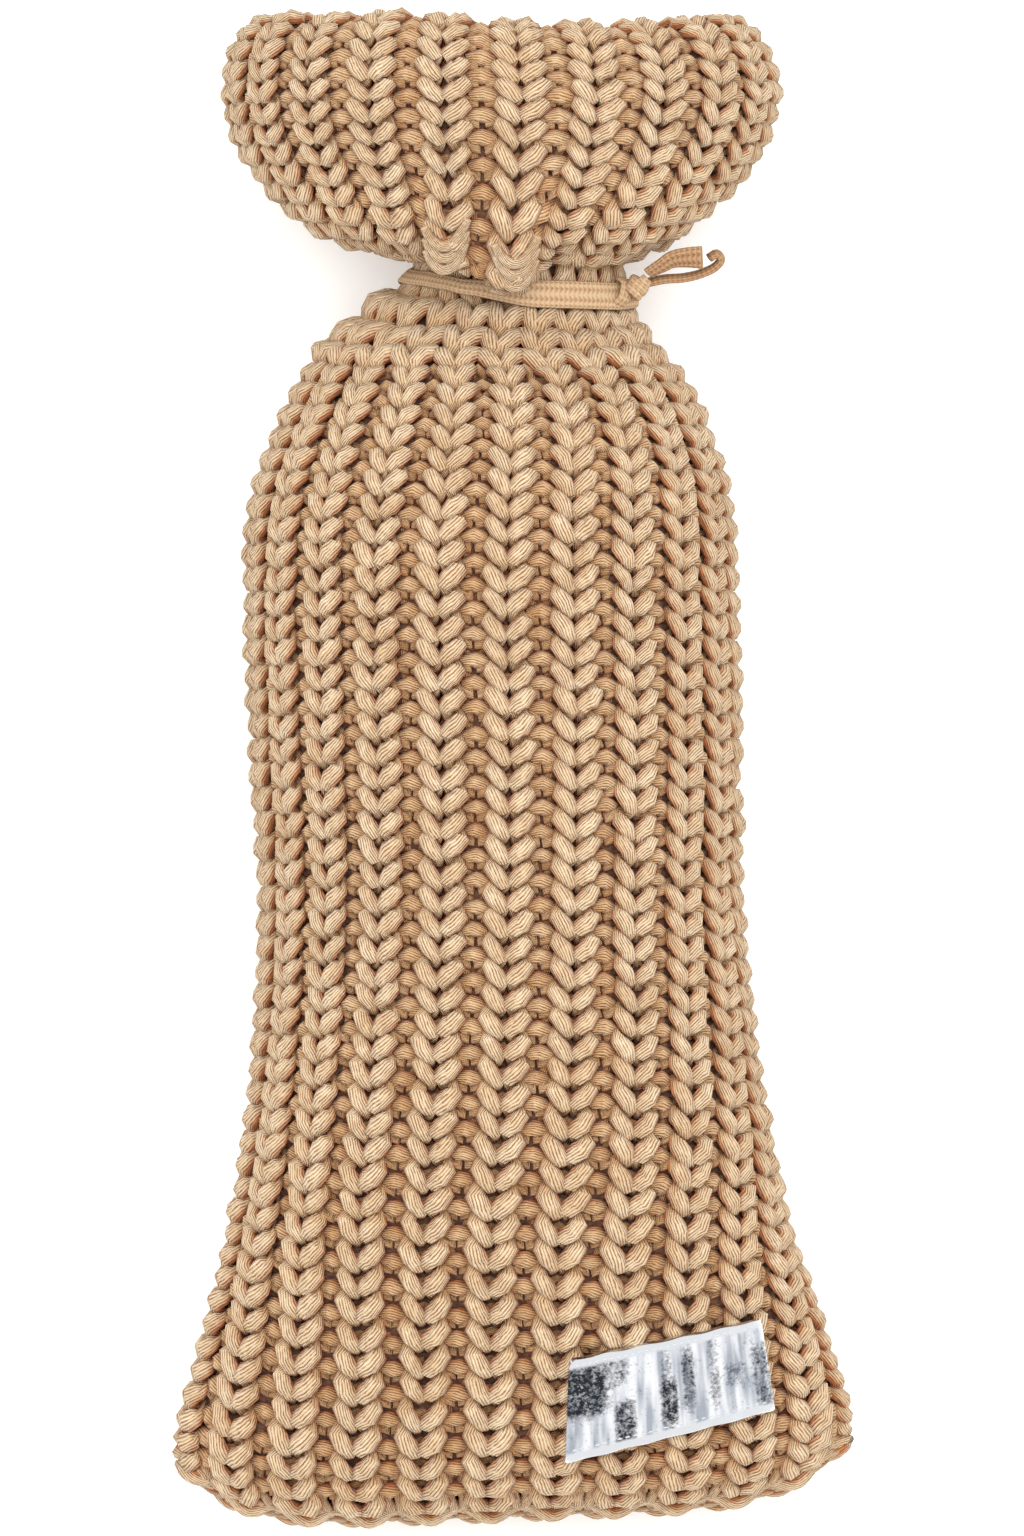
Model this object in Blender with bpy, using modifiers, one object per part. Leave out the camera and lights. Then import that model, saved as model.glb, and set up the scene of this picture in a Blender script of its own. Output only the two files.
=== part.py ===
"""A hot water bottle cover in chunky rib knit, lying on its back with its collar toward +Y.

One knitted tube is the whole cover. It is sewn flat across the base, swells round the place of
the bottle, is tied in at the neck with a knitted tape, and ends in a puffed collar whose edge is
turned in. A leather label is sewn to the lower front. +X is the right-hand side seen from above.
"""

import bpy
import numpy as np

# Driving sizes, in millimetres.
LENGTH = 332.4
RIBS = 22
WALL = 6.4
SEAM_CORNER = 6  # how squarely a course turns up at the sides of the base
GROOVE_PHASES = (-0.27, 0.27, 0.41, 0.59)  # two edges of a rib's top, then two of its groove
GROOVE_DEPTHS = (0.0, 0.0, 1.0, 1.0)

TAPE_THICK = 1.4
TAPE_CLEAR = 0.55
END_WIDTH = 4.8
KNOT_SIZE = (5.0, 6.0, 5.4)
KNOT_SHIFT = 2.4  # how far the knot's middle lies from the tape's, toward the collar
GAP = 0.3

LABEL_THICK = 1.2
LABEL_CLEAR = 0.35

# The sections of the cover's outer skin, from the seam at the base, over the collar, to the
# turned-in edge. front, side and back are how far along the cover the course lies there, from
# the base; left and right are its x; low and high its z. sink is how far the round section is
# pressed flat on the table, rib the depth of the grooves, slant how far the left side leads
# toward the collar, sag how far the two front ribs hang back over the tape, even how much the
# ribs share the section's angle instead of its length, and turn their turn in degrees.
COLUMNS = (
    "front", "side", "back", "left", "right", "low", "high",
    "sink", "rib", "slant", "sag", "even", "turn",
)
SECTIONS = (
    # the seam and the rounded end of the base
    (1.2, 15.3, 1.2, -73.5, 74.3, 18.7, 25.3, 0.0, 1.2, -2.8, 0.0, 0.0, -6.0),
    (3.6, 18.4, 3.2, -74.8, 74.8, 8.0, 35.0, 0.0, 1.8, -2.6, 0.0, 0.0, -6.0),
    (10.8, 24.6, 9.8, -74.2, 74.4, 1.6, 46.0, 1.0, 2.0, -2.0, 0.0, 0.0, -6.0),
    (21.0, 33.2, 20.5, -71.4, 72.0, 0.0, 53.5, 2.5, 2.1, -1.0, 0.0, 0.0, -6.0),
    (38.7, 48.2, 38.5, -67.2, 67.4, 0.0, 65.0, 3.5, 2.2, 0.0, 0.0, 0.0, -5.5),
    # the body
    (60.0, 65.5, 60.0, -62.9, 61.6, 0.0, 78.0, 4.0, 2.3, 0.0, 0.0, 0.1, -4.5),
    (80.0, 82.5, 80.0, -60.0, 58.1, 0.0, 88.0, 4.5, 2.4, 0.0, 0.0, 0.3, -2.5),
    (104.0, 104.5, 104.0, -57.3, 54.5, 0.0, 95.5, 5.0, 2.4, 0.0, 0.0, 0.4, -0.5),
    (137.0, 137.0, 137.0, -56.0, 50.7, 0.0, 99.5, 5.0, 2.4, 0.0, 0.0, 0.5, 2.0),
    (172.0, 172.0, 172.0, -57.9, 50.3, 0.0, 101.0, 5.0, 2.4, 0.0, 0.0, 0.5, 3.5),
    (205.0, 205.0, 205.0, -59.0, 49.4, 0.0, 101.0, 5.0, 2.4, 0.0, 0.0, 0.5, 4.0),
    # the shoulders, up to the ledge over the neck
    (220.0, 220.0, 220.0, -58.6, 48.7, 0.0, 100.0, 5.0, 2.3, 0.0, 0.0, 0.4, 4.5),
    (230.0, 230.0, 230.0, -56.6, 47.2, 0.0, 98.0, 4.0, 2.2, 0.0, 0.0, 0.3, 5.0),
    (239.0, 239.0, 239.0, -53.3, 44.1, 0.6, 94.5, 3.0, 2.1, 0.0, 0.0, 0.2, 5.5),
    (247.0, 247.0, 247.0, -49.8, 41.0, 4.0, 89.5, 1.0, 1.9, 0.0, 0.0, 0.1, 5.5),
    (253.5, 254.0, 253.5, -46.2, 37.2, 9.0, 83.5, 0.0, 1.6, 0.0, 0.0, 0.0, 5.0),
    # the plain knitted neck, narrowest under the tape
    (258.5, 260.0, 259.0, -42.5, 31.8, 14.5, 75.5, 0.0, 0.5, 0.5, 0.0, 0.0, 4.0),
    (263.5, 265.0, 264.5, -35.5, 28.4, 19.0, 68.0, 0.0, 0.0, 1.0, 0.0, 0.0, 3.0),
    (268.0, 269.5, 269.0, -30.0, 26.3, 21.8, 63.2, 0.0, 0.0, 2.0, 0.0, 0.0, 2.0),
    (272.5, 273.8, 273.5, -21.8, 25.4, 22.5, 61.8, 0.0, 0.0, 2.2, 0.0, 0.2, 2.0),
    (276.0, 277.3, 277.5, -22.0, 25.6, 21.8, 62.6, 0.0, 0.2, 1.0, -2.0, 0.4, 2.5),
    # the collar's underside, with two front ribs that sag over the tape
    (277.6, 279.2, 279.6, -30.5, 30.0, 15.5, 69.0, 0.0, 0.8, 0.0, -6.0, 0.6, 3.0),
    (280.5, 282.5, 282.4, -41.0, 36.4, 8.5, 76.0, 0.0, 1.5, 0.0, -9.5, 0.8, 3.5),
    (286.5, 288.6, 288.0, -50.0, 43.8, 3.2, 81.5, 0.0, 1.9, 0.0, -7.5, 1.0, 4.0),
    (295.0, 296.0, 296.0, -56.5, 51.2, 0.0, 85.5, 1.5, 2.2, 0.0, -3.0, 1.0, 4.0),
    (305.0, 305.0, 305.0, -61.6, 56.5, 0.0, 88.0, 2.5, 2.3, 0.0, 0.0, 1.0, 4.0),
    (315.0, 315.0, 315.0, -63.5, 59.0, 0.0, 89.0, 3.0, 2.2, 0.0, 0.0, 1.0, 4.0),
    # the fold at its mouth and the turned-in edge
    (323.2, 323.2, 323.2, -62.8, 57.2, 0.0, 88.0, 2.5, 2.0, 0.0, 0.0, 1.0, 4.0),
    (329.7, 329.7, 329.7, -59.6, 53.2, 2.7, 85.0, 1.5, 1.8, 0.0, 0.0, 1.0, 4.0),
    (332.4, 332.4, 332.4, -53.6, 47.2, 9.2, 78.5, 0.0, 1.6, 0.0, 0.0, 1.0, 4.0),
    (329.7, 329.7, 329.7, -47.3, 41.4, 15.7, 72.0, 0.0, 1.6, 0.0, 0.0, 1.0, 4.0),
    (323.2, 323.2, 323.2, -44.6, 39.0, 18.4, 69.3, 0.0, 1.6, 0.0, 0.0, 1.0, 4.0),
    (303.0, 303.0, 303.0, -42.0, 37.5, 20.0, 67.5, 0.0, 1.6, 0.0, 0.0, 1.0, 4.0),
)
SAG_MIDDLE = -4.0  # degrees round the collar
SAG_REACH = 17.0
SAG_INSIDE = 0.4  # the share of the sag that the inner skin has
NECK_SECTIONS = (16, 21)  # the first and last sections of the table that the tape lies among
LABEL_SECTIONS = (0, 6)
FINE_STEPS = 160
PLANE_POINTS = 12  # points of the skin that a point of the label is levelled to

# How far along the cover the tape's middle lies and how wide it is, by angle from the front. It is
# narrow where it is twisted at the left.
TAPE_LINE = (
    (-180, 273.0), (-135, 274.5), (-90, 275.6), (-60, 274.6), (-30, 271.4), (0, 269.4),
    (30, 269.5), (60, 269.6), (90, 270.6), (135, 272.0), (180, 273.0),
)
TAPE_WIDTHS = (
    (-180, 5.2), (-120, 5.0), (-90, 4.0), (-60, 4.2), (-38, 3.2), (-24, 3.3), (-8, 4.9),
    (8, 5.6), (180, 5.4),
)
KNOT_ANGLE = 65.0

# The free ends: x, along and z of their middle line, from the knot outward. The upper one turns
# from its edge to its face by END_TWIST degrees on the way.
UPPER_END = (
    (29.8, 275.2, 54.8), (32.7, 276.8, 55.6), (35.0, 278.1, 56.2), (38.3, 278.6, 56.8),
    (41.7, 278.6, 57.2),
)
END_TWIST = 57.0
LOWER_END = (
    (29.9, 273.3, 49.3), (33.5, 274.0, 49.2), (37.6, 274.3, 49.2), (41.7, 275.3, 49.5),
    (44.9, 277.0, 49.9), (45.9, 278.4, 50.2), (45.0, 279.5, 50.4), (43.2, 278.6, 50.6),
)

# The label's corners seen from above: x and how far along the cover.
LABEL_CORNERS = {
    "bottom_left": (11.7, 14.2), "bottom_right": (57.3, 25.7),
    "top_left": (12.3, 37.0), "top_right": (53.9, 45.6),
}

YARN = ((0.60, 0.38, 0.20, 1.0), 0.9, 0.0)
TAPE = ((0.62, 0.42, 0.25, 1.0), 0.85, 0.0)
SILVER = ((0.80, 0.80, 0.82, 1.0), 0.25, 1.0)


def column(name):
    return np.array([row[COLUMNS.index(name)] for row in SECTIONS], float)


def smooth(knots, values, at):
    """A cubic through the values, with each slope taken from its two neighbours."""
    slopes = np.gradient(values, knots, axis=0)
    i = np.clip(np.searchsorted(knots, at, side="right") - 1, 0, len(knots) - 2)
    span = knots[i + 1] - knots[i]
    t = (at - knots[i]) / span
    if values.ndim > 1:
        t, span = t[:, None], span[:, None]
    return (
        (2 * t**3 - 3 * t**2 + 1) * values[i]
        + (t**3 - 2 * t**2 + t) * span * slopes[i]
        + (3 * t**2 - 2 * t**3) * values[i + 1]
        + (t**3 - t**2) * span * slopes[i + 1]
    )


def path_knots():
    """How far each section lies along the skin, as the mean of the front's and the side's way."""
    half = (column("right") - column("left")) / 2
    front = np.hypot(np.diff(column("front")), np.diff(column("high")))
    side = np.hypot(np.diff(column("side")), np.diff(half))
    return np.concatenate([[0], np.cumsum((front + side) / 2)])


def rows_at(way):
    """The section table's columns at these ways along the skin."""
    knots = path_knots()
    row = {name: smooth(knots, column(name), way) for name in COLUMNS}
    row["half"] = (row["right"] - row["left"]) / 2
    row["middle"] = (row["right"] + row["left"]) / 2
    row["low"] = np.maximum(row["low"], 0)
    row["rib"] = np.maximum(row["rib"], 0)
    return row


def inset(row, depth):
    """The same sections moved into the wall, square to the skin's front, side and back."""
    moved = dict(row)
    for place, along, sign in (("half", "side", 1), ("high", "front", 1), ("low", "back", -1)):
        across, up = np.gradient(sign * row[place]), np.gradient(row[along])
        size = np.hypot(across, up)
        moved[place] = row[place] - sign * depth * up / size
        moved[along] = row[along] + depth * across / size
    moved["sag"] = row["sag"] * SAG_INSIDE
    return moved


def skin(row, turns):
    """Points of the skin: one line for each section, one point for each turn in degrees."""
    steps = np.radians(np.arange(-180, 181))
    points = np.empty((len(row["half"]), len(turns), 3))
    for i in range(len(points)):
        at = {name: values[i] for name, values in row.items()}
        tall = (at["high"] - at["low"] + at["sink"]) / 2
        centre = at["high"] - tall
        x, z = at["half"] * np.sin(steps), np.maximum(centre + tall * np.cos(steps), at["low"])
        length = np.concatenate([[0], np.cumsum(np.hypot(np.diff(x), np.diff(z)))])
        turned = (turns + at["turn"] + 180) % 360 - 180
        shared = np.interp((turned + 180) / 360, length / length[-1], steps)
        angle = (1 - at["even"]) * shared + at["even"] * np.radians(turned)
        square = 1 - np.abs(np.sin(angle)) ** SEAM_CORNER
        lead = np.where(np.cos(angle) > 0, at["front"], at["back"]) - at["side"]
        sag = at["sag"] * np.exp(-(((turned - SAG_MIDDLE) / SAG_REACH) ** 4))
        points[i, :, 0] = at["middle"] + at["half"] * np.sin(angle)
        points[i, :, 1] = at["side"] + lead * square - at["slant"] * np.sin(angle) + sag
        points[i, :, 2] = np.maximum(centre + tall * np.cos(angle), at["low"])
    return points


def outward(points):
    """The skin's unit normals, on a grid that closes on itself round the cover."""
    along = np.gradient(points, axis=0)
    wrapped = np.concatenate([points[:, -1:], points, points[:, :1]], axis=1)
    normal = np.cross(wrapped[:, 2:] - wrapped[:, :-2], along)
    return normal / np.linalg.norm(normal, axis=2, keepdims=True)


def to_metres(points):
    """From millimetres along the cover to metres about its middle."""
    return (np.asarray(points, float) - (0, LENGTH / 2, 0)) / 1000


def material(name, look):
    colour, roughness, metallic = look
    made = bpy.data.materials.new(name)
    made.use_nodes = True
    shader = made.node_tree.nodes["Principled BSDF"]
    shader.inputs["Base Color"].default_value = colour
    shader.inputs["Roughness"].default_value = roughness
    shader.inputs["Metallic"].default_value = metallic
    made.diffuse_color = colour
    return made


def add_mesh(name, points, faces, look):
    mesh = bpy.data.meshes.new(name)
    mesh.from_pydata(to_metres(points).tolist(), [], faces)
    mesh.validate()
    mesh.shade_smooth()
    made = bpy.data.objects.new(name, mesh)
    made.data.materials.append(look)
    bpy.data.collections["hot_water_bottle_cover"].objects.link(made)
    return made


def band_faces(first, second):
    """Quads between two rings of point numbers."""
    following = np.roll(first, -1), np.roll(second, -1)
    return np.stack([first, following[0], following[1], second], axis=1).tolist()


def zip_faces(ring, tip):
    """Closes a ring pressed flat, from its tip across to the other tip, with crossing quads."""
    count = len(ring)
    ring = np.roll(ring, -tip)
    there, back = ring[: count // 2 + 1], np.roll(ring[::-1], 1)[: count // 2 + 1]
    inner = range(1, count // 2 - 1)
    faces = [[there[i], back[i], back[i + 1], there[i + 1]] for i in inner]
    faces.append([there[0], back[1], there[1]])
    faces.append([there[-2], back[-2], there[-1]])
    return [[int(i) for i in face] for face in faces]


def rib_columns():
    """The turns of the cover's columns of points, and how deep in a groove each lies, 0 to 1."""
    pitch = 360 / RIBS
    phases = np.tile(GROOVE_PHASES, RIBS) + np.repeat(np.arange(RIBS) - RIBS // 2, 4)
    return phases * pitch, np.tile(GROOVE_DEPTHS, RIBS)


def knit_cover(look):
    """The tube: a ribbed outer skin, a smoother inner one, a rim, and a sewn base."""
    turns, depths = rib_columns()
    knots = path_knots()
    outer_row = rows_at(knots)
    inner_row = inset(outer_row, WALL)
    outer = skin(outer_row, turns)
    outer -= outward(outer) * (outer_row["rib"][:, None] * depths)[..., None]
    inner = skin(inner_row, turns)
    rings, count = len(knots), len(turns)
    outside = np.arange(rings * count).reshape(rings, count)
    inside = outside + outside.size
    faces = []
    for i in range(rings - 1):
        faces += band_faces(outside[i], outside[i + 1])
        faces += band_faces(inside[i + 1], inside[i])
    faces += band_faces(outside[-1], inside[-1])
    tip = int(np.argmin(np.abs(turns + outer_row["turn"][0] + 90)))
    faces += zip_faces(outside[0], tip)
    faces += [face[::-1] for face in zip_faces(inside[0], tip)]
    points = np.concatenate([outer.reshape(-1, 3), inner.reshape(-1, 3)])
    return add_mesh("knit_cover", points, faces, look)


def dense_skin(first, last, turns):
    """The smooth skin between two sections of the table, in fine steps."""
    knots = path_knots()
    return skin(rows_at(np.linspace(knots[first], knots[last], FINE_STEPS)), turns)


def strip(name, middle, across, width, thick, look, closed=False):
    """A flat tape: its middle line, the direction of its width at each point, and Solidify."""
    count = len(middle)
    across = across / np.linalg.norm(across, axis=1, keepdims=True)
    across = across * np.broadcast_to(width, count)[:, None] / 2
    points = np.concatenate([middle - across, middle, middle + across])
    last = count if closed else count - 1
    faces = []
    for i in range(last):
        j = (i + 1) % count
        faces.append([i, j, j + count, i + count])
        faces.append([i + count, j + count, j + 2 * count, i + 2 * count])
    made = add_mesh(name, points, faces, look)
    shell = made.modifiers.new("thickness", "SOLIDIFY")
    shell.thickness = thick / 1000
    shell.offset = 0
    return made


def tape_line():
    """The tape's middle line and width, and the ways across and out from it, from where its two
    edges meet the skin."""
    angles = np.arange(-180, 180, 5.0)
    lines = dense_skin(*NECK_SECTIONS, angles).transpose(1, 0, 2)
    along, width = (
        np.interp(angles, *np.array(table, float).T) for table in (TAPE_LINE, TAPE_WIDTHS)
    )
    edges = [
        [[np.interp(at, line[:, 1], line[:, k]) for k in range(3)] for at, line in zip(level, lines)]
        for level in (along - width / 2, along + width / 2)
    ]
    low, high = np.array(edges)
    middle, up = (low + high) / 2, high - low
    out = np.cross(np.roll(middle, -1, axis=0) - np.roll(middle, 1, axis=0), up)
    out /= np.linalg.norm(out, axis=1, keepdims=True)
    return angles, middle + out * (TAPE_CLEAR + TAPE_THICK / 2), width, up, out


def neck_tape(look):
    _, middle, width, up, _ = tape_line()
    return strip("neck_tape", middle, up, width, TAPE_THICK, look, closed=True)


def tape_knot(look):
    """A small lump of tape outside the band, at the right of the neck's front."""
    angles, middle, _, _, out = tape_line()
    i = int(np.argmin(np.abs(angles - KNOT_ANGLE)))
    reach = TAPE_THICK / 2 + GAP + np.linalg.norm(np.array(KNOT_SIZE) / 2 * out[i])
    bpy.ops.mesh.primitive_uv_sphere_add(segments=20, ring_count=12, radius=0.5)
    made = bpy.context.object
    made.name = made.data.name = "tape_knot"
    made.data.transform(np.diag([*KNOT_SIZE, 1000]) / 1000)
    made.location = to_metres(middle[i] + out[i] * reach + (0, KNOT_SHIFT, 0))
    made.data.shade_smooth()
    made.data.materials.append(look)
    for owner in list(made.users_collection):
        owner.objects.unlink(made)
    bpy.data.collections["hot_water_bottle_cover"].objects.link(made)
    return made


def smooth_line(points, count):
    points = np.array(points, float)
    steps = np.linalg.norm(np.diff(points, axis=0), axis=1)
    knots = np.concatenate([[0], np.cumsum(steps)])
    return smooth(knots, points, np.linspace(0, knots[-1], count))


def tape_ends(look):
    """Two short free ends: the upper turns its face to the eye, the lower stands on edge."""
    upper = smooth_line(UPPER_END, 14)
    turn = np.radians(np.linspace(END_TWIST, 0, len(upper)))
    way = np.gradient(upper, axis=0)
    way /= np.linalg.norm(way, axis=1, keepdims=True)
    wanted = np.stack([np.zeros_like(turn), np.cos(turn), np.sin(turn)], axis=1)
    across = wanted - way * (wanted * way).sum(axis=1, keepdims=True)
    strip("tape_end_upper", upper, across, END_WIDTH, TAPE_THICK, look)
    lower = smooth_line(LOWER_END, 24)
    on_edge = np.tile((0.0, -0.25, 1.0), (len(lower), 1))
    strip("tape_end_lower", lower, on_edge, END_WIDTH, TAPE_THICK, look)


def label(look):
    """The leather label, laid over the rib tops between its four corners."""
    u, v = np.meshgrid(np.linspace(0, 1, 19), np.linspace(0, 1, 10))
    corner = {name: np.array(place) for name, place in LABEL_CORNERS.items()}
    low = corner["bottom_left"] * (1 - u[..., None]) + corner["bottom_right"] * u[..., None]
    high = corner["top_left"] * (1 - u[..., None]) + corner["top_right"] * u[..., None]
    plan = (low * (1 - v[..., None]) + high * v[..., None]).reshape(-1, 2)
    points = dense_skin(*LABEL_SECTIONS, np.arange(-10, 90, 1.0)).reshape(-1, 3)
    heights = []
    for place in plan:
        near = points[np.argsort(np.hypot(*(points[:, :2] - place).T))[:PLANE_POINTS]]
        slope = np.c_[near[:, :2] - place, np.ones(PLANE_POINTS)]
        heights.append(np.linalg.lstsq(slope, near[:, 2], rcond=None)[0][2])
    sheet = np.c_[plan, np.array(heights) + LABEL_CLEAR]
    ids = np.arange(u.size).reshape(u.shape)
    faces = np.stack([ids[:-1, :-1], ids[:-1, 1:], ids[1:, 1:], ids[1:, :-1]], axis=2)
    made = add_mesh("label", sheet, faces.reshape(-1, 4).tolist(), look)
    shell = made.modifiers.new("thickness", "SOLIDIFY")
    shell.thickness = LABEL_THICK / 1000
    shell.offset = 1
    return made


def main():
    for old in list(bpy.data.objects):
        bpy.data.objects.remove(old)
    group = bpy.data.collections.new("hot_water_bottle_cover")
    bpy.context.scene.collection.children.link(group)
    knit_cover(material("cotton_rib_knit", YARN))
    tape = material("knitted_cotton_tape", TAPE)
    neck_tape(tape)
    tape_knot(tape)
    tape_ends(tape)
    label(material("silver_foiled_leather", SILVER))


main()
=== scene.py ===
"""A chunky rib-knit hot water bottle cover, seen from above as it lies on its back.

The cover is knitted here stitch by stitch: every course is one closed yarn that loops through the
course below it, laid on the cover's smooth skin. The tape, its knot and ends and the silver label
are surfaces on the same skin. Sizes are in millimetres until a mesh is made; +Y runs from the
sewn base to the collar and +Z up through the front.
"""

import bpy
import numpy as np
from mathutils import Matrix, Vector


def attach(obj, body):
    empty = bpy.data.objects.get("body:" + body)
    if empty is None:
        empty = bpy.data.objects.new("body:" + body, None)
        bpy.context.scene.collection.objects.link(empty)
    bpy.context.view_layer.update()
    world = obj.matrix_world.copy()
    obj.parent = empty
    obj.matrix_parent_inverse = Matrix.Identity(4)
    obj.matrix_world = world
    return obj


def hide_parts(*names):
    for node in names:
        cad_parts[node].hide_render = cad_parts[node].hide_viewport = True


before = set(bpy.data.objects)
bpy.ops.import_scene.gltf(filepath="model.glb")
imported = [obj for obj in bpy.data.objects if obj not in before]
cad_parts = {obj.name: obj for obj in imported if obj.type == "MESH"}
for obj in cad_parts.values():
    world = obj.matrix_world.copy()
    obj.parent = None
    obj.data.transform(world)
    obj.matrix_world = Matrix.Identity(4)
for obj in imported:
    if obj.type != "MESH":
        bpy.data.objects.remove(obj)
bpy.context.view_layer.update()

LENGTH = 332.4
RIBS = 22
SEAM_CORNER = 6  # how squarely a course turns up at the sides of the base
SAG_MIDDLE, SAG_REACH = -4.0, 17.0  # degrees at which the front sags, and to either side of it

# Sections of the cover's skin from the seam at the base, over the collar, to the turned-in edge:
# how far along the cover the course lies at the front, side and back, its left and right x, its
# low and high z, how far it is pressed flat on the table, how far the left side leads, how far
# the two front ribs sag, how much the ribs share the angle instead of the length, their turn.
COLUMNS = (
    "front", "side", "back", "left", "right", "low", "high",
    "sink", "slant", "sag", "even", "turn",
)
SECTIONS = (
    (1.2, 15.3, 1.2, -73.5, 74.3, 18.7, 25.3, 0.0, -2.8, 0.0, 0.0, -6.0),
    (3.6, 18.4, 3.2, -74.8, 74.8, 8.0, 35.0, 0.0, -2.6, 0.0, 0.0, -6.0),
    (10.8, 24.6, 9.8, -74.2, 74.4, 1.6, 46.0, 1.0, -2.0, 0.0, 0.0, -6.0),
    (21.0, 33.2, 20.5, -71.4, 72.0, 0.0, 53.5, 2.5, -1.0, 0.0, 0.0, -6.0),
    (38.7, 48.2, 38.5, -67.2, 67.4, 0.0, 65.0, 3.5, 0.0, 0.0, 0.0, -5.5),
    (60.0, 65.5, 60.0, -62.9, 61.6, 0.0, 78.0, 4.0, 0.0, 0.0, 0.1, -4.5),
    (80.0, 82.5, 80.0, -60.0, 58.1, 0.0, 88.0, 4.5, 0.0, 0.0, 0.3, -2.5),
    (104.0, 104.5, 104.0, -57.3, 54.5, 0.0, 95.5, 5.0, 0.0, 0.0, 0.4, -0.5),
    (137.0, 137.0, 137.0, -56.0, 50.7, 0.0, 99.5, 5.0, 0.0, 0.0, 0.5, 2.0),
    (172.0, 172.0, 172.0, -57.9, 50.3, 0.0, 101.0, 5.0, 0.0, 0.0, 0.5, 3.5),
    (205.0, 205.0, 205.0, -59.0, 49.4, 0.0, 101.0, 5.0, 0.0, 0.0, 0.5, 4.0),
    (220.0, 220.0, 220.0, -58.6, 48.7, 0.0, 100.0, 5.0, 0.0, 0.0, 0.4, 4.5),
    (230.0, 230.0, 230.0, -56.6, 47.2, 0.0, 98.0, 4.0, 0.0, 0.0, 0.3, 5.0),
    (239.0, 239.0, 239.0, -53.3, 44.1, 0.6, 94.5, 3.0, 0.0, 0.0, 0.2, 5.5),
    (247.0, 247.0, 247.0, -49.8, 41.0, 4.0, 89.5, 1.0, 0.0, 0.0, 0.1, 5.5),
    (253.5, 254.0, 253.5, -46.2, 37.2, 9.0, 83.5, 0.0, 0.0, 0.0, 0.0, 5.0),
    (258.5, 260.0, 259.0, -42.5, 31.8, 14.5, 75.5, 0.0, 0.5, 0.0, 0.0, 4.0),
    (263.5, 265.0, 264.5, -35.5, 28.4, 19.0, 68.0, 0.0, 1.0, 0.0, 0.0, 3.0),
    (268.0, 269.5, 269.0, -30.0, 26.3, 21.8, 63.2, 0.0, 2.0, 0.0, 0.0, 2.0),
    (272.5, 273.8, 273.5, -21.8, 25.4, 22.5, 61.8, 0.0, 2.2, 0.0, 0.2, 2.0),
    (276.0, 277.3, 277.5, -22.0, 25.6, 21.8, 62.6, 0.0, 1.0, -2.0, 0.4, 2.5),
    (277.6, 279.2, 279.6, -30.5, 30.0, 15.5, 69.0, 0.0, 0.0, -6.0, 0.6, 3.0),
    (280.5, 282.5, 282.4, -41.0, 36.4, 8.5, 76.0, 0.0, 0.0, -9.5, 0.8, 3.5),
    (286.5, 288.6, 288.0, -50.0, 43.8, 3.2, 81.5, 0.0, 0.0, -7.5, 1.0, 4.0),
    (295.0, 296.0, 296.0, -56.5, 51.2, 0.0, 85.5, 1.5, 0.0, -3.0, 1.0, 4.0),
    (305.0, 305.0, 305.0, -61.6, 56.5, 0.0, 88.0, 2.5, 0.0, 0.0, 1.0, 4.0),
    (315.0, 315.0, 315.0, -63.5, 59.0, 0.0, 89.0, 3.0, 0.0, 0.0, 1.0, 4.0),
    (323.2, 323.2, 323.2, -62.8, 57.2, 0.0, 88.0, 2.5, 0.0, 0.0, 1.0, 4.0),
    (329.7, 329.7, 329.7, -59.6, 53.2, 2.7, 85.0, 1.5, 0.0, 0.0, 1.0, 4.0),
    (332.4, 332.4, 332.4, -53.6, 47.2, 9.2, 78.5, 0.0, 0.0, 0.0, 1.0, 4.0),
    (329.7, 329.7, 329.7, -47.3, 41.4, 15.7, 72.0, 0.0, 0.0, 0.0, 1.0, 4.0),
    (323.2, 323.2, 323.2, -44.6, 39.0, 18.4, 69.3, 0.0, 0.0, 0.0, 1.0, 4.0),
    (303.0, 303.0, 303.0, -42.0, 37.5, 20.0, 67.5, 0.0, 0.0, 0.0, 1.0, 4.0),
)
SKIN_LINES = 460

# One loop of a stitch, from the strand that it shares with the loop on its left to the crown of
# its head: across from the stitch's middle in mm on a 15.5 mm rib, up in courses, height over the
# skin and yarn radius in mm. A purl loop's right half mirrors its left one; a knit loop's right
# leg is thicker and leans more. A knit loop's legs lie in front of the loop below, and a purl
# loop's head does.
RIB_WIDTH = 15.5
KNIT_LOOP = np.array((
    (-3.9, 0.18, -4.5, 1.25), (-1.2, 0.02, -3.6, 1.35), (-1.05, 0.30, -2.0, 1.82),
    (-2.6, 0.66, -1.1, 2.02), (-4.05, 0.98, -1.6, 1.94), (-3.8, 1.32, -3.9, 1.30),
    (0.0, 1.60, -4.5, 1.25), (3.8, 1.28, -3.9, 1.35), (4.2, 0.98, -1.6, 2.08),
    (2.8, 0.70, -1.0, 2.26), (1.1, 0.42, -1.7, 2.02), (1.2, 0.06, -3.6, 1.40),
))
PURL_HALF = np.array((
    (-3.9, 0.18, -4.5, 1.25), (-3.0, 0.12, -3.7, 1.40), (-1.25, -0.02, -3.6, 1.40),
    (-1.3, 0.30, -4.7, 1.25), (-2.3, 1.05, -5.2, 1.25), (-2.1, 1.38, -3.7, 1.75),
    (0.0, 1.42, -2.9, 1.92),
))
PURL_LOOP = np.concatenate([PURL_HALF, PURL_HALF[-2:0:-1] * (-1, 1, 1, 1)])
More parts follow.
